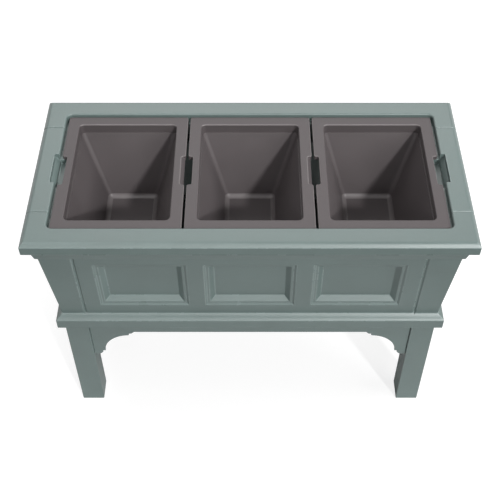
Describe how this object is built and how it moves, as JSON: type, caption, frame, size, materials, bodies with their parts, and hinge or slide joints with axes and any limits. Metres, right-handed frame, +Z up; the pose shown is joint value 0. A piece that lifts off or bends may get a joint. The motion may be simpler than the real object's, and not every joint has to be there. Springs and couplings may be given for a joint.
{
  "type": "raised garden bed",
  "caption": "Legged moulded planter box with a bevelled rim, recessed panels, corbelled aprons and lift-out tapered bins.",
  "frame": {"origin": "on the ground under the middle of the bed", "axes": "+X along the bed to the viewer's right, the front faces -Y, +Z up"},
  "size_m": [0.914, 0.44, 0.625],
  "materials": {
    "sage_plastic": "satin moulded sage green",
    "taupe_plastic": "matt moulded taupe",
    "plug_rubber": "matt dark grey",
    "screw_steel": "zinc plated"
  },
  "bodies": {
    "planter": {"front_panel": "sage_plastic", "back_panel": "sage_plastic", "left_end_panel": "sage_plastic", "right_end_panel": "sage_plastic", "front_left_leg": "sage_plastic", "front_right_leg": "sage_plastic", "back_left_leg": "sage_plastic", "back_right_leg": "sage_plastic", "left_cross_tie": "sage_plastic", "right_cross_tie": "sage_plastic", "end_panel_screws": "screw_steel"},
    "left_bin": {"left_bin": "taupe_plastic"},
    "middle_bin": {"middle_bin": "taupe_plastic"},
    "right_bin": {"right_bin": "taupe_plastic"},
    "left_drain_plug": {"left_drain_plug": "plug_rubber"},
    "middle_drain_plug": {"middle_drain_plug": "plug_rubber"},
    "right_drain_plug": {"right_drain_plug": "plug_rubber"}
  },
  "joints": [
    {"name": "left_bin_lift", "type": "slide", "parent": "planter", "child": "left_bin", "axis": [0, 0, 1], "range_m": [0, 0.25]},
    {"name": "middle_bin_lift", "type": "slide", "parent": "planter", "child": "middle_bin", "axis": [0, 0, 1], "range_m": [0, 0.25]},
    {"name": "right_bin_lift", "type": "slide", "parent": "planter", "child": "right_bin", "axis": [0, 0, 1], "range_m": [0, 0.25]},
    {"name": "left_drain_plug_pull", "type": "slide", "parent": "left_bin", "child": "left_drain_plug", "axis": [0, 0, -1], "range_m": [0, 0.05]},
    {"name": "middle_drain_plug_pull", "type": "slide", "parent": "middle_bin", "child": "middle_drain_plug", "axis": [0, 0, -1], "range_m": [0, 0.05]},
    {"name": "right_drain_plug_pull", "type": "slide", "parent": "right_bin", "child": "right_drain_plug", "axis": [0, 0, -1], "range_m": [0, 0.05]}
  ]
}
